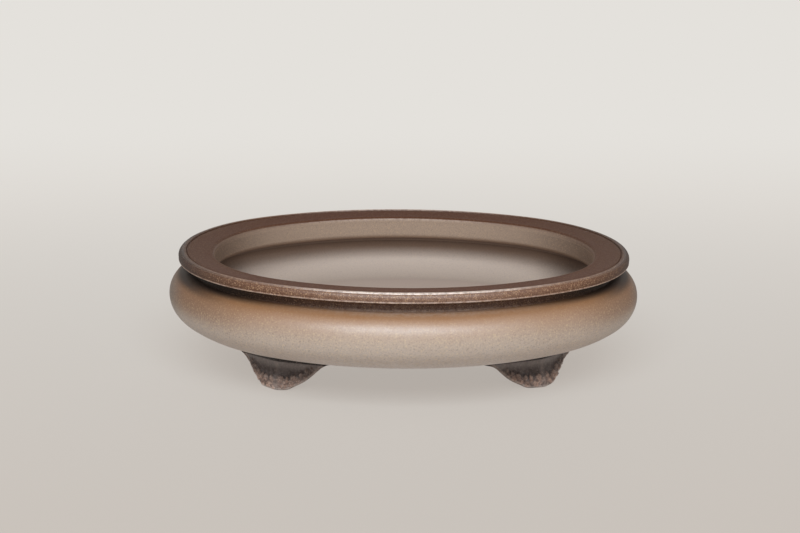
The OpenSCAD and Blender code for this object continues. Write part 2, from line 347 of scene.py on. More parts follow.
# %% The stoneware recipe
def stoneware(name, bare, burnished, interior, end_shade_tone, speck, light_tone, grain, grains=1000, rough=0.62):
    clay = bpy.data.materials.new(name)
    wire = cleared(clay)
    spot = wire.node("ShaderNodeTexCoord", None, None, "Object")
    place = wire.node("ShaderNodeSeparateXYZ", None, {"Vector": spot})
    out, back, up = abs(place.also("X")) / MM, place.also("Y") / MM, place.also("Z") / MM
    cloud, crumb, sand = speckle(spot, 26, 3), speckle(spot, 420), speckle(spot, grains)
    burnish, inside, rub, satin, smoke = (marked(wire, treatment) for treatment in TREATMENTS)
    sides, end_shade, corner, neck_shadow, silhouette_shade, cool_reflection = painted_light_masks(out, up, inside)
    tone = mix(burnish + (cloud - 0.5) * 0.30, bare, burnished)
    tone = mix(inside, tone, interior)
    tone = mix(end_shade, tone, end_shade_tone)
    tone = mix(smoke, tone, SHADE_TONE)
    tone = mix(corner * 0.55, tone, SHADE_TONE)
    tone = mix(silhouette_shade * 0.55, tone, seen_as(104, 103, 101))
    tone = mix(neck_shadow * 0.9, tone, seen_as(27, 23, 22))
    tone = mix(cool_reflection * 0.55, tone, seen_as(160, 162, 165))
    # Painted light fades towards the sides above the belly's shoulder, but hardly along the lower edge of the roll.
    roll = up.ease(69.8, 70.4)
    edge = up.ease(69.0, 69.4) * (1 - roll)
    painted_light_share = 1 - out.ease(15, 90) * (0.92 * up.ease(56, 62) - 0.85 * edge)
    tone = mix(rub * (0.4 + 0.8 * crumb).ease(0.5, 1.0) * painted_light_share, tone, light_tone)
    # Painted shade on the roll at the two ends, darkest at the back.
    roll_end_shade = out.ease(95, 138) * roll * (1 - inside) * (1 - burnish)
    tone = mix(roll_end_shade * (back.ease(-70, -10) * 0.45 + 0.40), tone, seen_as(44, 34, 33))
    # Sand: grains paler and darker than the clay, fewer where it is burnished, inside and under painted shade.
    grit = grain * 0.5 * (1 - 0.8 * burnish) * (1 - 0.6 * inside) * (1 - 0.8 * neck_shadow) * (1 - 0.8 * smoke)
    grit = grit * (1 - 0.7 * roll_end_shade)
    tone = mix(sand.ease(0.53, 0.68) * grit, tone, speck)
    tone = mix((1 - sand).ease(0.54, 0.70) * grit, tone, seen_as(52, 38, 33))
    bump = wire.node("ShaderNodeBump", None,
                     {"Strength": 0.25, "Distance": 0.0002, "Height": sand * 0.5 + crumb * 0.8})
    shader = wire.node("ShaderNodeBsdfPrincipled", None,
                       {"Base Color": tone, "Roughness": rough + (crumb - 0.5) * 0.25, "Normal": bump,
                        "Specular IOR Level": 0.12, "Coat Weight": satin * (0.54 + crumb) * (1 - 0.85 * sides),
                        "Coat Roughness": 0.44, "Coat IOR": 1.7})
    wire.node("ShaderNodeOutputMaterial", None, {"Surface": shader})
    print(name, "with", len(clay.node_tree.nodes), "nodes")
    return clay


BELLY = stoneware("belly stoneware", bare=seen_as(187, 165, 149), burnished=seen_as(154, 107, 70),
                  interior=seen_as(204, 181, 166), end_shade_tone=seen_as(104, 68, 44), speck=seen_as(234, 206, 156),
                  light_tone=seen_as(206, 190, 183), grain=0.6)
RIM = stoneware("rim stoneware", bare=seen_as(112, 74, 54), burnished=seen_as(75, 42, 28),
                interior=seen_as(176, 152, 133), end_shade_tone=seen_as(74, 51, 40), speck=seen_as(226, 184, 142),
                light_tone=seen_as(222, 196, 180), grain=1.0, grains=1500)
FLOOR = stoneware("floor stoneware", bare=seen_as(170, 147, 134), burnished=seen_as(142, 112, 96),
                  interior=seen_as(178, 156, 143), end_shade_tone=seen_as(122, 96, 82), speck=seen_as(208, 190, 178),
                  light_tone=PALE_GRAIN_AND_LIGHT, grain=0.3, rough=0.75)

# %% [markdown]
# ## Sections
# A template maker would cut these four outlines from card: across is the distance from the widest line, less than zero
# inwards, and up is the height over the table, both in millimetres. Arcs are stepped finely so that the light runs over
# them without facets, and every corner that a finger could touch is rounded, since sharp clay never survives the
# sponge.

# %% Lines that several pieces share, mm
FLOOR_UNDER, LEDGE, FLOOR_TOP = 23.0, 27.0, 31.0
WIDEST, SEAT, RIM_UNDER = 47.5, 62.3, 69.3
FLOOR_EDGE, MOUTH, NECK_FOOT = -38.6, -28.7, -15.0
WALL = 8.0
BULGE, SHOULDER = 17.0, 14.8
HULL_CENTRE, HULL, HULL_TURN = 74.85, 51.85, 51.7
print("the wall is", WALL, "mm thick, and the mouth is", round(2 * (HALF_LENGTH + MOUTH), 1), "mm long")


# %% Arcs and runs
def arc(across, up, radius, start, end, steps):
    angles = np.radians(np.linspace(start, end, steps + 1))
    return [(across + radius * math.cos(a), up + radius * math.sin(a)) for a in angles]


def run(points, burnish=0.0, inside=0.0, rub=0.0, satin=0.0, smoke=0.0):
    return [(a, u, burnish, inside, rub, satin, smoke) for a, u in points]


def fading(points, **ends):
    """A run whose treatments change evenly from its first point to its last."""
    made = []
    for share, point in zip(np.linspace(0, 1, len(points)), points):
        made += run([point], **{key: first + (last - first) * share for key, (first, last) in ends.items()})
    return made


print("the shoulder's arc has", len(arc(-SHOULDER, WIDEST, SHOULDER, 0, 90, 30)), "points")

# %% A ring from its section
STEPS_ROUND, HAND_WOBBLE = 288, 0.18
SAME_PLACE = 0.004


def ring(name, runs, clay):
    section = []
    for point in (p for part in runs for p in part):
        if not section or math.dist(point[:2], section[-1][:2]) > SAME_PLACE:
            section.append(point)
    if math.dist(section[0][:2], section[-1][:2]) < SAME_PLACE:
        section.pop()
    mesh = bpy.data.meshes.new(name + " section")
    mesh.from_pydata([(p[0] * MM, p[1] * MM, 0) for p in section], [(i, i + 1) for i in range(len(section) - 1)], [])
    for column, treatment in enumerate(TREATMENTS, start=2):
        store(mesh, treatment, [p[column] for p in section])
    made = evaluated(bpy.data.objects.new(name + " section", mesh), RING, RING_IDS, {
        "points": len(section), "steps": STEPS_ROUND, "half_length": HALF_LENGTH * MM, "half_width": HALF_WIDTH * MM,
        "swell": SIDE_SWELL * MM, "wobble": HAND_WOBBLE * MM, "clay": clay})
    triangles, volume = settle(made)
    present(name, made)
    print(f"{name}: {len(section)} section points, {triangles} triangles, {volume:.0f} ml of clay")


print("a ring takes", STEPS_ROUND, "steps round the oval")

# %% [markdown]
# ## Belly and shoulder
# The belly is pressed in a mould in two rings that meet at the widest line. The lower one curves in to a flat ledge
# that carries the floor; the upper one rolls over to a flat seat for the neck. On the outside both leave the widest
# line straight up and down, so the joint vanishes once it has been sponged.

# %% The outside's tone, with painted shade and painted light
TONE_HEIGHTS = [FLOOR_UNDER, 40.0, WIDEST, 55.0, 60.5, SEAT]
BROWN_AND_SHADE = [0.0, 0.0, 0.15, 0.6, 0.95, 1.0]
PALE_AND_LIGHT = [1.1, 0.25, 0.0, 0.0, 0.0, 0.3]


def outside(points):
    """Browner towards the top, partly clay and partly painted shade; painted reflected light pales the underside and
    top edge.
    """
    made = []
    for across, up in points:
        brown, pale = float(np.interp(up, TONE_HEIGHTS, BROWN_AND_SHADE)), float(np.interp(up, TONE_HEIGHTS, PALE_AND_LIGHT))
        made += run([(across, up)], burnish=brown, rub=pale, satin=1.0)
    return made


print("brown from bottom to top:", BROWN_AND_SHADE)

# %% Lower belly
lower_runs = [
    outside(arc(-BULGE, WIDEST, BULGE, 0, -HULL_TURN, 22)
            + arc(FLOOR_EDGE, HULL_CENTRE, HULL, -HULL_TURN, -88.5, 20)),
    # The foot of the wall and the ledge for the floor.
    run([(FLOOR_EDGE, FLOOR_UNDER), (-44.2, FLOOR_UNDER)], burnish=0.25),
    run(arc(-44.1, 23.5, 0.5, -90, -180, 3) + [(-44.6, LEDGE), (FLOOR_EDGE, LEDGE)], burnish=0.25),
    # The inside, with painted shade at the floor and again under the shoulder.
    fading([(FLOOR_EDGE, FLOOR_TOP)] + arc(FLOOR_EDGE, HULL_CENTRE, HULL - WALL, -90, -HULL_TURN, 18),
           inside=(1.0, 1.0), smoke=(0.32, 0.06)),
    fading(arc(-BULGE, WIDEST, BULGE - WALL, -HULL_TURN, 0, 14), inside=(1.0, 1.0), smoke=(0.06, 0.26)),
]
ring("lower_belly", lower_runs, BELLY)

# %% Shoulder ring
shoulder_runs = [
    outside(arc(-SHOULDER, WIDEST, SHOULDER, 0, 90, 30)),
    # The seat of the neck, and the hollow edge inside it, in painted shade.
    run([(-22.8, SEAT)], burnish=0.8),
    run([(-22.8, 60.2)] + arc(-17.3, 59.8, 5.5, 180, 270, 10), inside=1.0, smoke=0.7),
    # The inner wall, with painted shade under the neck that fades downwards.
    fading(arc(-SHOULDER, WIDEST, SHOULDER - WALL, 90, 0, 14), inside=(1.0, 1.0), smoke=(1.3, 0.28)),
]
ring("shoulder_ring", shoulder_runs, BELLY)

# %% [markdown]
# ## Neck and rim
# The neck is a shallow hollow run with a rounded tool, always in the shadow of the rim. The rim is a wide flat ring:
# its outer edge is rolled and left sandy, a fine bead with a groove behind it runs along the top of the roll, and the
# flat inside the bead is burnished until it is dark and smooth. The bead's crown carries a painted highlight.

# %% Neck band
TOOL = (-12.10, 65.8, 4.10)
SKIRT_EDGE = (-25.1, 61.5, 3.6)
neck_runs = [
    # The hollow, in a lower and an upper half: painted light at its foot gives way to painted shade under the rim.
    fading([(NECK_FOOT, SEAT)] + arc(*TOOL, 225, 180, 8),
           rub=(0.4, 0.05), satin=(0.5, 0.2), smoke=(0.3, 0.35)),
    fading(arc(*TOOL, 180, 135, 8), rub=(0.05, 0.0), smoke=(0.35, 0.7)),
    # The bed of the rim, then the skirt that hangs inside the shoulder, all with some painted shade.
    run([(NECK_FOOT, RIM_UNDER)], smoke=0.5),
    run([(MOUTH + 0.1, RIM_UNDER), (MOUTH, RIM_UNDER - 0.1)], inside=0.8),
    fading([(MOUTH, 66.0)] + arc(*SKIRT_EDGE, 180, 270, 12), inside=(0.8, 0.8), smoke=(0.0, 0.2)),
    run([(-23.0, 57.9), (-23.0, SEAT)], inside=0.8, smoke=0.6),
]
ring("neck_band", neck_runs, RIM)

# %% Rim lip
MOUTH_EDGE = (-25.7, 70.3, 3.0)
rim_runs = [
    # The underside.
    run([(MOUTH, RIM_UNDER + 0.1), (MOUTH + 0.1, RIM_UNDER)], inside=0.8),
    run([(-27.5, RIM_UNDER), (NECK_FOOT, RIM_UNDER)], burnish=0.8),
    run([(-7.6, RIM_UNDER)], burnish=0.5),
    # The roll with a painted reflection on its lower edge, then the bead with a painted highlight, front and back.
    run(arc(-7.0, 70.0, 0.7, -90, -20, 6), rub=0.65, satin=0.6),
    run(arc(-9.5, 71.8, 3.2, -24, 56, 14), rub=0.10, satin=0.45),
    run(arc(-9.15, 74.15, 0.85, 15, 90, 10), rub=1.2, satin=2.0),
    run(arc(-10.5, 74.5, 0.5, 90, 180, 6), burnish=0.6, rub=0.3, satin=0.6),
    # The groove, the flat and the rounded edge of the mouth, with a painted highlight along that edge.
    run(arc(-11.4, 74.2, 0.4, 360, 180, 8), burnish=1.0),
    run(arc(-12.1, 74.12, 0.3, 0, 85, 4) + [(-14.5, 74.26), (-20.0, 73.75), (-24.6, 73.30)], burnish=1.0),
    fading(arc(*MOUTH_EDGE, 85, 135, 8), burnish=(1.0, 0.8)),
    fading(arc(*MOUTH_EDGE, 140, 180, 8), burnish=(0.7, 0.1), inside=(0.3, 0.75), rub=(0.5, 0.0)),
]
ring("rim_lip", rim_runs, RIM)

# %% [markdown]
# ## The floor
# The floor is a flat slab let into the ledge, with two drain holes and four small holes for the wires that hold a tree
# down. Round holes in a plate are quickest as outlines filled with triangles: the same loop of points bounds the plate
# and starts the wall of the hole, so nothing has to be cut afterwards.


# %% Outlines for the floor
def oval_loop(offset):
    loop = []
    for turn in np.linspace(0, 2 * math.pi, 144, endpoint=False):
        c, s = abs(math.cos(turn)), abs(math.sin(turn))
        at_end = s * END_CENTRE < c * -SIDE_CENTRE
        radius, cx, cy = (END_RADIUS, END_CENTRE, 0.0) if at_end else (SIDE_RADIUS, 0.0, SIDE_CENTRE)
        loop.append((math.copysign(cx + (radius + offset) * c, math.cos(turn)),
                     math.copysign(cy + (radius + offset) * s, math.sin(turn))))
    return loop


def round_loop(x, y, radius, steps):
    return [(x + radius * math.cos(t), y + radius * math.sin(t))
            for t in np.linspace(0, 2 * math.pi, steps, endpoint=False)]


# For each hole: its place, its radius, the rounding of its arris and the points round it.
DRAINS = [(x, 0.0, 13.0, 1.2, 48) for x in (-52.0, 52.0)]
WIRE_HOLES = [(x, y, 2.5, 0.5, 20) for x in (-48.0, 48.0) for y in (-38.0, 38.0)]
SLIP, STEP_IN = 0.1, 6.1
BORDER = [(0.0, FLOOR_TOP), (0.0, LEDGE + SLIP), (STEP_IN, LEDGE + SLIP), (STEP_IN, FLOOR_UNDER + 0.5),
          (STEP_IN + 0.5, FLOOR_UNDER)]
print(len(DRAINS), "drain holes and", len(WIRE_HOLES), "wire holes")


# %% Floor slab
def floor_slab():
    shell = bmesh.new()

    def lay(loop, up):
        return [shell.verts.new((x * MM, y * MM, up * MM)) for x, y in loop]

    def pairs(loop):
        return zip(loop, loop[1:] + loop[:1])

    def wall(loops):
        for upper, lower in zip(loops, loops[1:]):
            for (a, b), (c, d) in zip(pairs(upper), pairs(lower)):
                shell.faces.new((a, b, d, c))

    def edges(loop):
        return [shell.edges.get(pair) or shell.edges.new(pair) for pair in pairs(loop)]

    border = [lay(oval_loop(FLOOR_EDGE - inwards), up) for inwards, up in BORDER]
    wall(border)
    top, bottom = [border[0]], [border[-1]]
    for x, y, radius, arris, steps in DRAINS + WIRE_HOLES:
        turns = np.radians(np.linspace(90, 180, 5))
        profile = [(radius + arris + arris * math.cos(t), FLOOR_TOP - arris + arris * math.sin(t)) for t in turns]
        profile += [(r, FLOOR_TOP + FLOOR_UNDER - z) for r, z in reversed(profile)]
        loops = [lay(round_loop(x, y, r, steps), z) for r, z in profile]
        wall(loops)
        top.append(loops[0])
        bottom.append(loops[-1])
    for group, look in ((top, 1), (bottom, -1)):
        bmesh.ops.triangle_fill(shell, use_beauty=True, edges=[e for loop in group for e in edges(loop)],
                                normal=(0, 0, look))
    bmesh.ops.recalc_face_normals(shell, faces=shell.faces)
    mesh = bpy.data.meshes.new("floor slab")
    shell.to_mesh(mesh)
    shell.free()
    store(mesh, "inside", [1.0 if v.co.z > (FLOOR_TOP - 0.1) * MM else 0.4 for v in mesh.vertices])
    mesh.materials.append(FLOOR)
    triangles, volume = settle(mesh)
    present("floor_slab", mesh)
    print(f"floor_slab: {triangles} triangles, {volume:.0f} ml of clay")


floor_slab()

# %% [markdown]
# ## Cloud-scroll feet
# Each foot is a bracket of two wings that meet in a ridge under the corner of the oval. The face leans back, flares out
# under the belly and is scribed to it; the lower edge climbs from the ridge to the tip in a row of curled clouds. The
# bracket itself is a loop of points (face, edge, underside, back, top) carried along the wings, worked out in Python,
# because its upper edge has to find the belly. The clouds repeat along the edge, so Geometry Nodes carve them.

# %% Where the belly is over a point of the table
HULL_REACH = 32.1


def offset_at(x, y):
    """How far a point of the plan lies outside the widest line, less than zero inwards."""
    x, y = np.abs(x), np.abs(y)
    at_end = np.arctan2(y, x - END_CENTRE) < JOIN
    end = np.hypot(x - END_CENTRE, y) - END_RADIUS
    side = np.hypot(x, y - SIDE_CENTRE) - SIDE_RADIUS
    return np.where(at_end, end, side)


def belly_over(x, y):
    """Height of the underside of the belly, in mm, over a point of the table."""
    out = np.clip(offset_at(x, y) - FLOOR_EDGE, 0, HULL_REACH)
    return HULL_CENTRE - np.sqrt(HULL ** 2 - out ** 2)


RIDGE, FOOT_TURN = (83.02, 61.44), math.radians(-29)
print("belly over the ridge of a foot, mm:", round(float(belly_over(*map(np.array, RIDGE))), 2))

# %% The lower edge of a wing
WING, SWEEP = 39.0, math.radians(20)
REST, HEEL, KNEE, BEND, TIP_UP = 7.0, 11.0, 33.5, 8.0, 16.5
reach_to_knee = math.hypot(KNEE - REST, TIP_UP - HEEL)
CLIMB = math.atan2(TIP_UP - HEEL, KNEE - REST) - math.acos(HEEL / reach_to_knee) + math.pi / 2
CLIMB_START = (REST + HEEL * math.sin(CLIMB), HEEL - HEEL * math.cos(CLIMB))
BEND_REACH = BEND * math.tan(CLIMB / 2)


def lower_edge(along, fuller):
    """Height of the lower edge along a wing: level, rounded off the table, a climb, a bend, level to the tip."""
    heel = HEEL - np.sqrt(np.maximum(HEEL ** 2 - np.clip(along - REST, 0, HEEL) ** 2, 0))
    line = CLIMB_START[1] + (along - CLIMB_START[0]) * math.tan(CLIMB)
    over = np.clip(along - KNEE - BEND_REACH, -BEND, 0)
    bend = TIP_UP - BEND + np.sqrt(BEND ** 2 - over ** 2)
    climbing = np.where(along < CLIMB_START[0], heel, line)
    height = np.where(along > KNEE - BEND_REACH * math.cos(CLIMB), bend, climbing)
    # The knife left each wing a little fuller in one place and slimmer in another.
    for middle, spread, more in fuller:
        height = height - more * np.exp(-((along - middle) / spread) ** 2)
    return np.maximum(height, 0)


def edge_place(along, up, fuller):
    """Wing coordinates as distance run along the lower edge and height square to it."""
    steps = np.linspace(0, WING, 200)
    slopes = np.arctan(np.gradient(lower_edge(steps, fuller), steps))
    runs = np.concatenate([[0], np.cumsum(np.diff(steps) / np.cos(slopes[1:]))])
    slope = np.interp(along, steps, slopes)
    rise = up - lower_edge(along, fuller)
    return np.interp(along, steps, runs) + rise * np.sin(slope), rise * np.cos(slope)


print("the lower edge climbs at", round(math.degrees(CLIMB), 1), "degrees")

# %% The face of a wing and its place under the pot
LEAN, LEAN_TOP = math.tan(math.radians(12)), 10.0
FLARE, FLARE_OUT, FLARE_UP, FLARE_TOP = 14.0, 11.57, 12.91, 26.5


def face_out(up):
    """How far the face stands out from the ridge line at a height: it leans back, then flares in a hollow."""
    hollow = FLARE_OUT - np.sqrt(np.maximum(FLARE ** 2 - (np.minimum(up, FLARE_TOP) - FLARE_UP) ** 2, 0))
    return np.where(up < LEAN_TOP, -up * LEAN, hollow)


def foot_place(along, out, side):
    """Wing coordinates to the foot's own: ridge at the origin, facing +y."""
    x = along * math.cos(SWEEP) + out * math.sin(SWEEP)
    return side * x, -along * math.sin(SWEEP) + out * math.cos(SWEEP)


def belly_at(reach, out, side):
    """Height of the belly over a point of a wing."""
    x, y = foot_place(reach, out, side)
    c, s = math.cos(FOOT_TURN), math.sin(FOOT_TURN)
    return belly_over(RIDGE[0] + x * c - y * s, RIDGE[1] + x * s + y * c)


print("the face flares", round(float(face_out(np.array(FLARE_TOP))), 1), "mm out at its top")

# %% One loop round the bracket
THICK, EDGE_ROUND = 14.0, 0.9
JOINT_DEEP, JOINT_HIGH = 0.9, 0.55
RIDGE_WORN, RIDGE_WIDE = 0.45, 1.1
FACE_ROWS, EDGE_ROWS, HIDDEN_ROWS = 84, 5, 6
THINNEST = 0.4


def wing_top(reach, side):
    """The face climbs until it touches the belly."""
    levels = np.linspace(8, FLARE_TOP, 500)
    touch = belly_at(reach, face_out(levels), side) - levels
    return levels[np.argmax(touch <= 0)] if (touch <= 0).any() else levels[-1]


def wing_loop(reach, side, top, low):
    """Out and up for each point of the loop, and how much it belongs to the face."""
    face_up = top + (low + EDGE_ROUND - top) * np.linspace(0, 1, FACE_ROWS) ** 0.9
    # A joint line pressed in under the belly, and the ridge worn a little round.
    face = face_out(face_up) - JOINT_DEEP * np.exp(-((top - face_up) / JOINT_HIGH) ** 2)
    face = face - RIDGE_WORN * np.exp(-(reach / RIDGE_WIDE) ** 2)
    # The rounded lower edge, the underside, the back and the hidden top.
    turns = np.radians(np.linspace(0, 90, EDGE_ROWS + 1)[1:])
    inner = float(face[-1]) - EDGE_ROUND
    under = np.linspace(inner, -THICK, HIDDEN_ROWS + 1)[1:]
    back = max(float(belly_at(reach, np.array(-THICK), side)), low + THINNEST)
    over = np.linspace(-THICK, float(face_out(np.array(top))) - JOINT_DEEP, HIDDEN_ROWS + 2)[1:-1]
    out = np.concatenate([face, inner + EDGE_ROUND * np.cos(turns), under, np.full(HIDDEN_ROWS, -THICK), over])
    up = np.concatenate([face_up, low + EDGE_ROUND - EDGE_ROUND * np.sin(turns), np.full(HIDDEN_ROWS, low),
                         np.linspace(low, back, HIDDEN_ROWS + 1)[1:],
                         np.maximum(belly_at(reach, over, side), low + THINNEST)])
    shown = np.concatenate([np.ones(FACE_ROWS), np.linspace(0.8, 0.1, EDGE_ROWS), np.zeros(3 * HIDDEN_ROWS)])
    return out, up, shown


print("a loop has", FACE_ROWS + EDGE_ROWS + 3 * HIDDEN_ROWS, "points")

# %% The bracket as a loop carried along both wings
STATIONS, MITRE = 150, 8.0
SHADOW_WIDE, SHADOW_WIDER, SHADOW_FADE = 4.2, 0.06, 12.0
UNITS = {"edge_run": MM, "edge_rise": MM, "face": 1, "side": 1, "ridge": 1, "below_slip": 1}


def bracket(fuller):
    loops, values = [], []
    along = np.linspace(0, WING, STATIONS)
    for side, reaches in ((-1, along[::-1]), (1, along[1:])):
        for reach in reaches:
            top, low = wing_top(reach, side), float(lower_edge(np.array(reach), fuller[side]))
            out, up, shown = wing_loop(reach, side, top, low)
            # The wings meet in a mitre: near the ridge each row starts where the two faces cross.
            shift = -out * math.tan(SWEEP) * max(0.0, 1 - reach / MITRE)
            loops.append(np.stack([*foot_place(reach + shift, out, side), up], 1))
            edge_run, rise = edge_place(np.full(len(up), reach), up, fuller[side])
            ridge = math.exp(-(reach / 1.5) ** 2) * shown
            # How far a point lies below a painted shadow strip under the belly, which widens towards the tips.
            below = np.clip((top - up - SHADOW_WIDE - SHADOW_WIDER * reach) / SHADOW_FADE, 0, 1)
            values.append(np.stack([edge_run, rise, shown, np.full(len(up), float(side)), ridge, below], 1))
    count, row = len(loops), len(loops[0])
    faces = [(i * row + j, i * row + (j + 1) % row, (i + 1) * row + (j + 1) % row, (i + 1) * row + j)
             for i in range(count - 1) for j in range(row)]
    faces += [tuple(range(row))[::-1], tuple((count - 1) * row + j for j in range(row))]
    mesh = bpy.data.meshes.new("bracket")
    mesh.from_pydata((np.concatenate(loops) * MM).tolist(), [], faces)
    for column, (attribute, unit) in zip(np.concatenate(values).T, UNITS.items()):
        store(mesh, attribute, column * unit)
    return mesh


print("a bracket can be drawn for any fullness of its wings")

# %% [markdown]
# ## Carving the clouds
# A band of clouds runs along the lower edge of each wing: a row of round heads, lower and smaller towards the tip, and
# small curls tucked in between them. Each head is a pillow with a spiral groove. For every point of the face the tree
# works out how far it is from a head's centre and at which angle, and from those two the pillow and the groove follow.
# A slow noise shifts the points first, as a carver's hand would, so that no two heads come out alike. The height of
# the carving is also stored on the mesh, because the finish below wants to know which spots a hand would have rubbed.

# %% The carving tree
HEADS = 6


def carving_tree():
    tree = new_tree("clouds carved along an edge", "Foot")
    ids = {"bracket": socket_for(tree, "Bracket", "Geometry"),
           "radius": socket_for(tree, "First Head Radius", "Float", 0.0026),
           "lift": socket_for(tree, "First Head Height", "Float", 0.006),
           "shrink": socket_for(tree, "Shrink From Head To Head", "Float", 0.93),
           "relief": socket_for(tree, "Relief", "Float", 0.0014),
           "groove": socket_for(tree, "Groove Share", "Float", 0.4),
           "wander": socket_for(tree, "Wander Of The Hand", "Float", 0.0015),
           "marks": socket_for(tree, "Tool Marks", "Float", 0.0003),
           "sweep": socket_for(tree, "Wing Sweep", "Float", SWEEP),
           "seed": socket_for(tree, "Seed", "Float", 1.0),
           "clay": socket_for(tree, "Clay", "Material")}
    given = Wire(tree).node("NodeGroupInput")

    def stored(name):
        return given.node("GeometryNodeInputNamedAttribute", {"data_type": "FLOAT"}, {"Name": name})

    def unsteady(scale, out):
        return given.node("ShaderNodeTexNoise", {"noise_dimensions": "4D"},
                          {"Vector": given.node("GeometryNodeInputPosition"), "W": given.also(ids["seed"]),
                           "Scale": scale, "Detail": 2.0, "Roughness": 0.6}, out)

    hand = given.node("ShaderNodeSeparateXYZ", None, {"Vector": unsteady(210.0, "Color")})
    wander = given.also(ids["wander"])
    face, side = stored("face"), stored("side")
    along = stored("edge_run") + (hand.also("X") - 0.5) * wander
    rise = stored("edge_rise") + (hand.also("Y") - 0.5) * wander
    radius, lift, shrink = given.also(ids["radius"]), given.also(ids["lift"]), given.also(ids["shrink"])
    groove = given.also(ids["groove"])
    centre, fall, carved = radius * 0.9, shrink ** 1.6, None
    for _ in range(HEADS):
        dx, dz = along - centre, rise - lift
        away = given.math("SQRT", dx * dx + dz * dz) / radius
        angle = given.math("ARCTAN2", dz, dx) / (2 * math.pi)
        # The spiral winds inwards towards the eye of the head.
        phase = given.math("FRACT", away * 1.3 + angle + 0.3)
        line = 1 - abs(phase - 0.5).ease(0.05, 0.30)
        head = 1 - away.ease(0.30, 1.08) - groove * line * away.ease(0.15, 0.4) * (1 - away.ease(0.6, 0.9))
        # A small curl below and beside it.
        low_x, low_z = along - centre - radius * 0.85, rise - lift * 0.40
        low_away = given.math("SQRT", low_x * low_x + low_z * low_z) / (radius * 0.9)
        curl = 0.95 * (1 - low_away.ease(0.3, 1.08)) - groove * 0.8 * (1 - low_away.ease(0.1, 0.45))
        # Between them the ground is left about half as high.
        web = 0.5 * (1 - (abs(dx) / radius).ease(0.9, 1.5)) * (1 - (rise / lift).ease(0.7, 1.3))
        cloud = given.math("MAXIMUM", given.math("MAXIMUM", head, curl), web)
        carved = cloud if carved is None else given.math("MAXIMUM", carved, cloud)
        smaller = radius * shrink
        centre, radius, lift = centre + (radius + smaller) * 0.92, smaller, lift * fall
    # The clouds die away before the tip, and a plain border runs below them.
    carved = carved * (1 - (along / centre).ease(0.86, 1.02))
    carved = carved + (0.5 - carved) * (1 - stored("edge_rise").ease(0.0004, 0.0013))
    dabs = (unsteady(420.0, 0) - 0.5) * given.also(ids["marks"]) * (0.3 + 2 * carved)
    height = (carved * given.also(ids["relief"]) + dabs) * face
    sweep = given.also(ids["sweep"])
    shift = given.node("ShaderNodeCombineXYZ", None, {"X": height * side * given.math("SINE", sweep),
                                                      "Y": height * given.math("COSINE", sweep)})
    cut_face = given.node("GeometryNodeSetPosition", None, {"Geometry": given.also(ids["bracket"]), "Offset": shift})
    hand_over(given.node("GeometryNodeStoreNamedAttribute", {"data_type": "FLOAT", "domain": "POINT"},
                         {"Geometry": cut_face, "Name": "carving", "Value": carved * face}),
              given.also(ids["clay"]))
    return tree, ids


CARVING, CARVING_IDS = carving_tree()
print("carving tree:", len(CARVING.nodes), "nodes for", HEADS, "heads and", HEADS, "curls")

# %% [markdown]
# ## The finish of the feet
# The feet are drier and greyer than the belly. A painted shadow, nearly black, runs along the joint under the belly,
# and the grooves are darker near the table. The plain field above the clouds is grey, and the raised curls and the
# ridge have been rubbed back to a pinkish tan, with bare crumbs of grog near the table. A thin line of painted
# reflected light runs pale along the lower edge.


# %% Foot stoneware
def foot_stoneware():
    clay = bpy.data.materials.new("foot stoneware")
    wire = cleared(clay)
    spot = wire.node("ShaderNodeTexCoord", None, None, "Object")
    height = wire.node("ShaderNodeSeparateXYZ", None, {"Vector": spot}, "Z")
    carving, rise, ridge, below = (marked(wire, name) for name in ("carving", "edge_rise", "ridge", "below_slip"))
    patch, sand, crumb = speckle(spot, 150), speckle(spot, 800), speckle(spot, 420)
    low = 1 - height.ease(0.001, 0.012)
    # The grey field, darker lower down in patches.
    tone = mix((patch - 0.35) * 1.2, seen_as(130, 119, 115), seen_as(156, 146, 141))
    tone = mix(below.ease(0.20, 0.60) * (0.75 + 1.3 * (patch - 0.45)), tone, seen_as(72, 60, 57))
    # The curls, grooves and ridge, painted reflected light on the lower edge, and a painted shadow under the belly.
    raised = carving.ease(0.20, 0.85)
    tone = mix(raised * 0.7, tone, seen_as(140, 122, 113))
    tone = mix(raised * low * (0.60 + 1.6 * (patch - 0.38)), tone, seen_as(198, 158, 138))
    tone = mix((1 - carving.ease(0.1, 0.6)) * low * 0.6, tone, seen_as(58, 47, 43))
    tone = mix(ridge * (0.2 + 0.25 * low), tone, seen_as(168, 148, 138))
    tone = mix((1 - rise.ease(0.0010, 0.0022)) * 0.55, tone, PALE_GRAIN_AND_LIGHT)
    tone = mix((1 - below.ease(0.05, 0.12)) * 0.95, tone, seen_as(36, 28, 26))
    # Sand all over, and coarser crumbs of grog that lie bare near the table.
    tone = mix(sand.ease(0.53, 0.66) * (0.12 + 0.2 * raised), tone, PALE_GRAIN_AND_LIGHT)
    tone = mix((1 - sand).ease(0.54, 0.68) * (0.2 + 0.25 * raised), tone, seen_as(46, 38, 36))
    tone = mix(crumb.ease(0.54, 0.64) * low * 0.6, tone, seen_as(222, 184, 164))
    tone = mix((1 - crumb).ease(0.54, 0.64) * low * 0.5, tone, seen_as(56, 42, 36))
    bump = wire.node("ShaderNodeBump", None, {"Strength": 0.4, "Distance": 0.0003, "Height": sand * 0.5 + crumb})
    shader = wire.node("ShaderNodeBsdfPrincipled", None,
                       {"Base Color": tone, "Roughness": 0.58 + (crumb - 0.5) * 0.3, "Normal": bump,
                        "Specular IOR Level": 0.35})
    wire.node("ShaderNodeOutputMaterial", None, {"Surface": shader})
    return clay


FOOT = foot_stoneware()
print("foot stoneware:", len(FOOT.node_tree.nodes), "nodes")

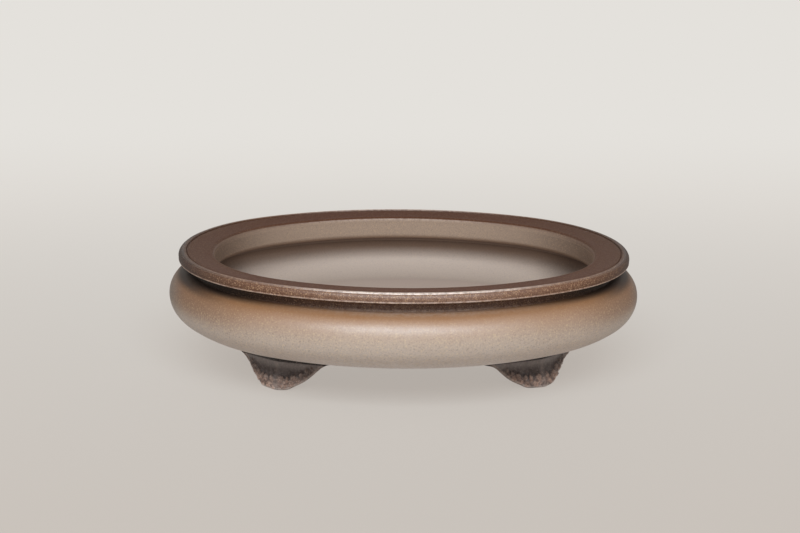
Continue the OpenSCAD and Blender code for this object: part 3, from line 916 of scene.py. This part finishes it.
# %% Four feet, each cut by hand
carving_sizes = {"radius": 3.3 * MM, "lift": 7.0 * MM, "shrink": 0.93, "relief": 1.9 * MM, "groove": 0.35,
                 "wander": 3.0 * MM, "marks": 1.2 * MM, "sweep": SWEEP, "clay": FOOT}
home = Matrix.Translation(Vector((*RIDGE, 0)) * MM) @ Matrix.Rotation(FOOT_TURN, 4, "Z")
# For each foot: which way it is turned over, and where along its end wing (1) and its long wing (-1) the knife left
# it fuller, over what length and by how much.
corners = {"foot_back_right": ((1, 1), {1: [(20, 8, -0.4)], -1: [(20, 8, 0.2)]}),
           "foot_back_left": ((-1, 1), {1: [(20, 8, 0.3)], -1: [(20, 8, 0.4)]}),
           "foot_front_right": ((1, -1), {1: [(20, 8, -0.1), (33, 5, 1.3)], -1: [(23, 9, 2.8), (35, 4, 1.0)]}),
           "foot_front_left": ((-1, -1), {1: [(19, 7, 1.0), (30, 4, -0.6), (8, 4, 0.3)],
                                          -1: [(29, 5, -1.5), (12, 4, -1.1)]})}
for seed, (name, ((x, y), fuller)) in enumerate(corners.items(), start=1):
    blank = bpy.data.objects.new(name + " blank", bracket(fuller))
    mesh = evaluated(blank, CARVING, CARVING_IDS, {**carving_sizes, "seed": float(seed)})
    mesh.transform(Matrix.Diagonal((x, y, 1, 1)) @ home)
    triangles, volume = settle(mesh)
    present(name, mesh)
    print(f"{name}: {triangles} triangles, {volume:.1f} ml of clay")

# %% [markdown]
# ## Table, light and camera
# The pot stands on a wide pale table that fills the view. One big softbox over the camera lays the broad sheen on the
# shoulder and the bright line on the bead, and a soft light from all round the room keeps the ends from going black. A
# low fill behind the pot is for those who walk round it: it is kept out of reflections, so that the flat of the rim
# stays dark. The camera is the photograph's: a longish lens, a little above the rim, and turned a touch clockwise.

# %% Table
TABLE_HALF = 6.0


def in_sight(wire):
    """1 for rays that show a thing to the camera, straight or in a reflection."""
    path = wire.node("ShaderNodeLightPath")
    return path.also("Is Camera Ray") + path.also("Is Glossy Ray") + path.also("Is Transmission Ray")


def table():
    corner = TABLE_HALF
    mesh = bpy.data.meshes.new("table")
    mesh.from_pydata([(-corner, -corner, 0), (corner, -corner, 0), (corner, corner, 0), (-corner, corner, 0)], [],
                     [(0, 1, 2, 3)])
    cover = bpy.data.materials.new("table cover")
    wire = cleared(cover)
    spot = wire.node("ShaderNodeTexCoord", None, None, "Object")
    depth = wire.node("ShaderNodeSeparateXYZ", None, {"Vector": spot}, "Y")
    tone = mix(depth.ease(-0.6, 1.0), seen_as(197, 187, 178), seen_as(228, 225, 220))
    matt = wire.node("ShaderNodeBsdfDiffuse", None, {"Color": tone})
    glow = wire.node("ShaderNodeEmission", None, {"Color": tone, "Strength": 1.0})
    # Near the pot the table keeps more of its own shading, and with it the pot's shadow.
    spread = wire.node("ShaderNodeVectorMath", {"operation": "LENGTH"}, {0: spot}, "Value")
    share = in_sight(wire) * (0.70 + 0.30 * spread.ease(0.15, 0.7))
    mixed = wire.node("ShaderNodeMixShader", None, {0: share, 1: matt, 2: glow})
    wire.node("ShaderNodeOutputMaterial", None, {"Surface": mixed})
    mesh.materials.append(cover)
    floor = bpy.data.objects.new("table", mesh)
    bpy.context.scene.collection.objects.link(floor)
    print("table", 2 * TABLE_HALF, "m wide")


table()

# %% Softboxes
MIDDLE = Vector((0, 0, 0.05))


def softbox(name, place, width, height, power, colour):
    lamp = bpy.data.lights.new(name, "AREA")
    lamp.shape, lamp.size, lamp.size_y, lamp.energy, lamp.color = "RECTANGLE", width, height, power, colour
    box = bpy.data.objects.new(name, lamp)
    box.location = place
    box.rotation_euler = (MIDDLE - Vector(place)).to_track_quat("-Z", "Y").to_euler()
    bpy.context.scene.collection.objects.link(box)
    print(name, "of", power, "W")
    return box


softbox("key over the camera", (-0.15, -1.50, 1.45), width=2.0, height=0.9, power=48, colour=(0.78, 0.91, 1.0))
fill = softbox("low fill behind", (0.2, 1.70, 0.30), width=1.8, height=0.5, power=18, colour=(0.9, 0.96, 1.0))
fill.visible_camera = fill.visible_glossy = False

# %% The room
world = bpy.data.worlds.new("room")
bpy.context.scene.world = world
wire = cleared(world)
room = wire.node("ShaderNodeBackground", None, {"Color": (1, 0.975, 0.94, 1), "Strength": 0.36})
sight = wire.node("ShaderNodeBackground", None, {"Color": seen_as(222, 217, 211), "Strength": 1.0})
mixed = wire.node("ShaderNodeMixShader", None, {0: in_sight(wire), 1: room, 2: sight})
wire.node("ShaderNodeOutputWorld", None, {"Surface": mixed})
bpy.context.scene.view_settings.view_transform = "Standard"
print("room light ready")

# %% Camera
CAMERA_ROLL = math.radians(0.93)
lens = bpy.data.cameras.new("camera")
lens.sensor_width, lens.lens = 36.0, 62.64
lens.shift_x, lens.shift_y = -0.00536, 0.02151
lens.clip_start = 0.01
camera = bpy.data.objects.new("camera", lens)
camera.location = (-0.0681, -0.8656, 0.2870)
aim = (MIDDLE - camera.location).to_track_quat("-Z", "Y").to_matrix().to_4x4()
camera.rotation_euler = (aim @ Matrix.Rotation(CAMERA_ROLL, 4, "Z")).to_euler()
bpy.context.scene.collection.objects.link(camera)
bpy.context.scene.camera = camera
print("camera", round(camera.location.length, 3), "m from the pot")
